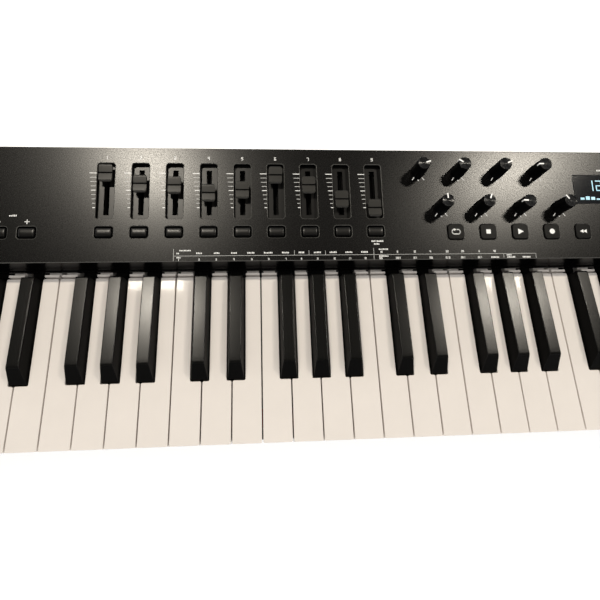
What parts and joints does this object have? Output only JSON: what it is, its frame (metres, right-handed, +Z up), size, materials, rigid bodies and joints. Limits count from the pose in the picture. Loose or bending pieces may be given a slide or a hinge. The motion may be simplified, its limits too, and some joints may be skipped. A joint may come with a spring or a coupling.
{
  "type": "midi keyboard",
  "caption": "Long keyboard controller with spring-return piano keys under a sloping panel of faders, buttons, rotary knobs, a display and square pads, with two wheels beside the lowest key.",
  "frame": {"origin": "middle of the whole keyboard at table level, under the feet", "axes": "+X to the treble end, +Y to the back, +Z up"},
  "size_m": [0.971, 0.236, 0.1023],
  "materials": {
    "case_black": "satin",
    "panel_black": "fine grained matt",
    "cheek_black": "satin",
    "chassis_grey": "moulded",
    "rod_steel": "ground",
    "felt_red": "felt",
    "spring_steel": "rolled",
    "board_green": "solder mask",
    "contact_rubber": "moulded",
    "pot_metal": "stamped",
    "switch_black": "satin",
    "lens_black": "polished",
    "module_black": "moulded",
    "socket_black": "moulded",
    "foot_rubber": "moulded",
    "screw_steel": "blackened",
    "knob_black": "satin",
    "wheel_rubber": "soft touch",
    "button_grey": "satin",
    "button_black": "satin",
    "pad_rubber": "moulded",
    "key_black": "satin",
    "key_white": "gloss",
    "fader_grey": "satin"
  },
  "bodies": {
    "case": {"base_tray": "case_black", "top_panel": "panel_black", "left_cheek": "cheek_black", "right_cheek": "cheek_black", "wheel_deck": "panel_black", "key_chassis": "chassis_grey", "key_pivot_rod": "rod_steel", "key_felts": "felt_red", "key_springs": "spring_steel", "contact_board": "board_green", "contact_strips": "contact_rubber", "control_board": "board_green", "fader_pots": "pot_metal", "rotary_pots": "pot_metal", "button_switches": "switch_black", "display_lens": "lens_black", "display_module": "module_black", "pad_board": "board_green", "wheel_bracket": "chassis_grey", "rear_sockets": "socket_black", "rubber_feet": "foot_rubber", "case_screws": "screw_steel"},
    "keys_c": {"keys_c": "key_white"},
    "keys_c_sharp": {"keys_c_sharp": "key_black"},
    "keys_d": {"keys_d": "key_white"},
    "keys_d_sharp": {"keys_d_sharp": "key_black"},
    "keys_e": {"keys_e": "key_white"},
    "keys_f": {"keys_f": "key_white"},
    "keys_f_sharp": {"keys_f_sharp": "key_black"},
    "keys_g": {"keys_g": "key_white"},
    "keys_g_sharp": {"keys_g_sharp": "key_black"},
    "keys_a": {"keys_a": "key_white"},
    "keys_a_sharp": {"keys_a_sharp": "key_black"},
    "keys_b": {"keys_b": "key_white"},
    "fader_1": {"fader_1": "fader_grey"},
    "fader_2": {"fader_2": "fader_grey"},
    "fader_3": {"fader_3": "fader_grey"},
    "fader_4": {"fader_4": "fader_grey"},
    "fader_5": {"fader_5": "fader_grey"},
    "fader_6": {"fader_6": "fader_grey"},
    "fader_7": {"fader_7": "fader_grey"},
    "fader_8": {"fader_8": "fader_grey"},
    "fader_9": {"fader_9": "fader_grey"},
    "knob_1": {"knob_1": "knob_black"},
    "knob_2": {"knob_2": "knob_black"},
    "knob_3": {"knob_3": "knob_black"},
    "knob_4": {"knob_4": "knob_black"},
    "knob_5": {"knob_5": "knob_black"},
    "knob_6": {"knob_6": "knob_black"},
    "knob_7": {"knob_7": "knob_black"},
    "knob_8": {"knob_8": "knob_black"},
    "data_encoder": {"data_encoder": "knob_black"},
    "pitch_wheel": {"pitch_wheel": "wheel_rubber"},
    "mod_wheel": {"mod_wheel": "wheel_rubber"},
    "power_switch": {"power_switch": "switch_black"},
    "fader_buttons": {"fader_buttons": "button_grey"},
    "transport_buttons": {"transport_buttons": "button_black"},
    "octave_buttons": {"octave_buttons": "button_grey"},
    "menu_buttons": {"menu_buttons": "button_black"},
    "pads": {"pads": "pad_rubber"}
  },
  "joints": [
    {"name": "keys_c_press", "type": "hinge", "parent": "case", "child": "keys_c", "pos_m": [0, 0.094, 0.0405], "axis": [1, 0, 0], "range_deg": [0, 2.7], "stiffness_Nm_per_rad": 2.5, "springref_deg": -16.04},
    {"name": "keys_c_sharp_press", "type": "hinge", "parent": "case", "child": "keys_c_sharp", "pos_m": [0, 0.094, 0.0405], "axis": [1, 0, 0], "range_deg": [0, 2.7], "stiffness_Nm_per_rad": 2.5, "springref_deg": -16.04},
    {"name": "keys_d_press", "type": "hinge", "parent": "case", "child": "keys_d", "pos_m": [0, 0.094, 0.0405], "axis": [1, 0, 0], "range_deg": [0, 2.7], "stiffness_Nm_per_rad": 2.5, "springref_deg": -16.04},
    {"name": "keys_d_sharp_press", "type": "hinge", "parent": "case", "child": "keys_d_sharp", "pos_m": [0, 0.094, 0.0405], "axis": [1, 0, 0], "range_deg": [0, 2.7], "stiffness_Nm_per_rad": 2.5, "springref_deg": -16.04},
    {"name": "keys_e_press", "type": "hinge", "parent": "case", "child": "keys_e", "pos_m": [0, 0.094, 0.0405], "axis": [1, 0, 0], "range_deg": [0, 2.7], "stiffness_Nm_per_rad": 2.5, "springref_deg": -16.04},
    {"name": "keys_f_press", "type": "hinge", "parent": "case", "child": "keys_f", "pos_m": [0, 0.094, 0.0405], "axis": [1, 0, 0], "range_deg": [0, 2.7], "stiffness_Nm_per_rad": 2.5, "springref_deg": -16.04},
    {"name": "keys_f_sharp_press", "type": "hinge", "parent": "case", "child": "keys_f_sharp", "pos_m": [0, 0.094, 0.0405], "axis": [1, 0, 0], "range_deg": [0, 2.7], "stiffness_Nm_per_rad": 2.5, "springref_deg": -16.04},
    {"name": "keys_g_press", "type": "hinge", "parent": "case", "child": "keys_g", "pos_m": [0, 0.094, 0.0405], "axis": [1, 0, 0], "range_deg": [0, 2.7], "stiffness_Nm_per_rad": 2.5, "springref_deg": -16.04},
    {"name": "keys_g_sharp_press", "type": "hinge", "parent": "case", "child": "keys_g_sharp", "pos_m": [0, 0.094, 0.0405], "axis": [1, 0, 0], "range_deg": [0, 2.7], "stiffness_Nm_per_rad": 2.5, "springref_deg": -16.04},
    {"name": "keys_a_press", "type": "hinge", "parent": "case", "child": "keys_a", "pos_m": [0, 0.094, 0.0405], "axis": [1, 0, 0], "range_deg": [0, 2.7], "stiffness_Nm_per_rad": 2.5, "springref_deg": -16.04},
    {"name": "keys_a_sharp_press", "type": "hinge", "parent": "case", "child": "keys_a_sharp", "pos_m": [0, 0.094, 0.0405], "axis": [1, 0, 0], "range_deg": [0, 2.7], "stiffness_Nm_per_rad": 2.5, "springref_deg": -16.04},
    {"name": "keys_b_press", "type": "hinge", "parent": "case", "child": "keys_b", "pos_m": [0, 0.094, 0.0405], "axis": [1, 0, 0], "range_deg": [0, 2.7], "stiffness_Nm_per_rad": 2.5, "springref_deg": -16.04},
    {"name": "fader_1_slide", "type": "slide", "parent": "case", "child": "fader_1", "axis": [0, 0.9903, 0.1392], "range_m": [-0.0298, 0.0002]},
    {"name": "fader_2_slide", "type": "slide", "parent": "case", "child": "fader_2", "axis": [0, 0.9903, 0.1392], "range_m": [-0.0206, 0.0094]},
    {"name": "fader_3_slide", "type": "slide", "parent": "case", "child": "fader_3", "axis": [0, 0.9903, 0.1392], "range_m": [-0.0194, 0.0106]},
    {"name": "fader_4_slide", "type": "slide", "parent": "case", "child": "fader_4", "axis": [0, 0.9903, 0.1392], "range_m": [-0.0128, 0.0172]},
    {"name": "fader_5_slide", "type": "slide", "parent": "case", "child": "fader_5", "axis": [0, 0.9903, 0.1392], "range_m": [-0.0154, 0.0146]},
    {"name": "fader_6_slide", "type": "slide", "parent": "case", "child": "fader_6", "axis": [0, 0.9903, 0.1392], "range_m": [-0.0286, 0.0014]},
    {"name": "fader_7_slide", "type": "slide", "parent": "case", "child": "fader_7", "axis": [0, 0.9903, 0.1392], "range_m": [-0.02, 0.01]},
    {"name": "fader_8_slide", "type": "slide", "parent": "case", "child": "fader_8", "axis": [0, 0.9903, 0.1392], "range_m": [-0.0076, 0.0224]},
    {"name": "fader_9_slide", "type": "slide", "parent": "case", "child": "fader_9", "axis": [0, 0.9903, 0.1392], "range_m": [0, 0.03]},
    {"name": "knob_1_turn", "type": "hinge", "parent": "case", "child": "knob_1", "pos_m": [-0.0036, 0.09855, 0.08476], "axis": [0, -0.1392, 0.9903], "range_deg": [-77, 223]},
    {"name": "knob_2_turn", "type": "hinge", "parent": "case", "child": "knob_2", "pos_m": [0.0313, 0.09855, 0.08476], "axis": [0, -0.1392, 0.9903], "range_deg": [-207, 93]},
    {"name": "knob_3_turn", "type": "hinge", "parent": "case", "child": "knob_3", "pos_m": [0.0662, 0.09855, 0.08476], "axis": [0, -0.1392, 0.9903], "range_deg": [-82, 218]},
    {"name": "knob_4_turn", "type": "hinge", "parent": "case", "child": "knob_4", "pos_m": [0.1011, 0.09855, 0.08476], "axis": [0, -0.1392, 0.9903], "range_deg": [-240, 60]},
    {"name": "knob_5_turn", "type": "hinge", "parent": "case", "child": "knob_5", "pos_m": [0.0141, 0.06656, 0.08026], "axis": [0, -0.1392, 0.9903], "range_deg": [-152, 148]},
    {"name": "knob_6_turn", "type": "hinge", "parent": "case", "child": "knob_6", "pos_m": [0.049, 0.06656, 0.08026], "axis": [0, -0.1392, 0.9903], "range_deg": [-128, 172]},
    {"name": "knob_7_turn", "type": "hinge", "parent": "case", "child": "knob_7", "pos_m": [0.0839, 0.06656, 0.08026], "axis": [0, -0.1392, 0.9903], "range_deg": [-238, 62]},
    {"name": "knob_8_turn", "type": "hinge", "parent": "case", "child": "knob_8", "pos_m": [0.1188, 0.06656, 0.08026], "axis": [0, -0.1392, 0.9903], "range_deg": [-190, 110]},
    {"name": "data_encoder_turn", "type": "hinge", "parent": "case", "child": "data_encoder", "pos_m": [0.2215, 0.08934, 0.08346], "axis": [0, -0.1392, 0.9903], "continuous": true},
    {"name": "pitch_wheel_roll", "type": "hinge", "parent": "case", "child": "pitch_wheel", "pos_m": [-0.4425, -0.038, 0.05], "axis": [1, 0, 0], "range_deg": [-40, 40], "stiffness_Nm_per_rad": 0.06},
    {"name": "mod_wheel_roll", "type": "hinge", "parent": "case", "child": "mod_wheel", "pos_m": [-0.4045, -0.038, 0.05], "axis": [1, 0, 0], "range_deg": [-70, 0]},
    {"name": "power_switch_rock", "type": "hinge", "parent": "case", "child": "power_switch", "pos_m": [-0.426, 0.113, 0.056], "axis": [1, 0, 0], "range_deg": [0, 7]},
    {"name": "fader_buttons_press", "type": "slide", "parent": "case", "child": "fader_buttons", "axis": [0, 0.1392, -0.9903], "range_m": [0, 0.001], "stiffness_N_per_m": 1500, "springref_m": -0.001},
    {"name": "transport_buttons_press", "type": "slide", "parent": "case", "child": "transport_buttons", "axis": [0, 0.1392, -0.9903], "range_m": [0, 0.001], "stiffness_N_per_m": 1200, "springref_m": -0.001},
    {"name": "octave_buttons_press", "type": "slide", "parent": "case", "child": "octave_buttons", "axis": [0, 0.1392, -0.9903], "range_m": [0, 0.001], "stiffness_N_per_m": 500, "springref_m": -0.001},
    {"name": "menu_buttons_press", "type": "slide", "parent": "case", "child": "menu_buttons", "axis": [0, 0.1392, -0.9903], "range_m": [0, 0.001], "stiffness_N_per_m": 900, "springref_m": -0.001},
    {"name": "pads_press", "type": "slide", "parent": "case", "child": "pads", "axis": [0, 0.1392, -0.9903], "range_m": [0, 0.0005], "stiffness_N_per_m": 8000, "springref_m": -0.0006}
  ]
}
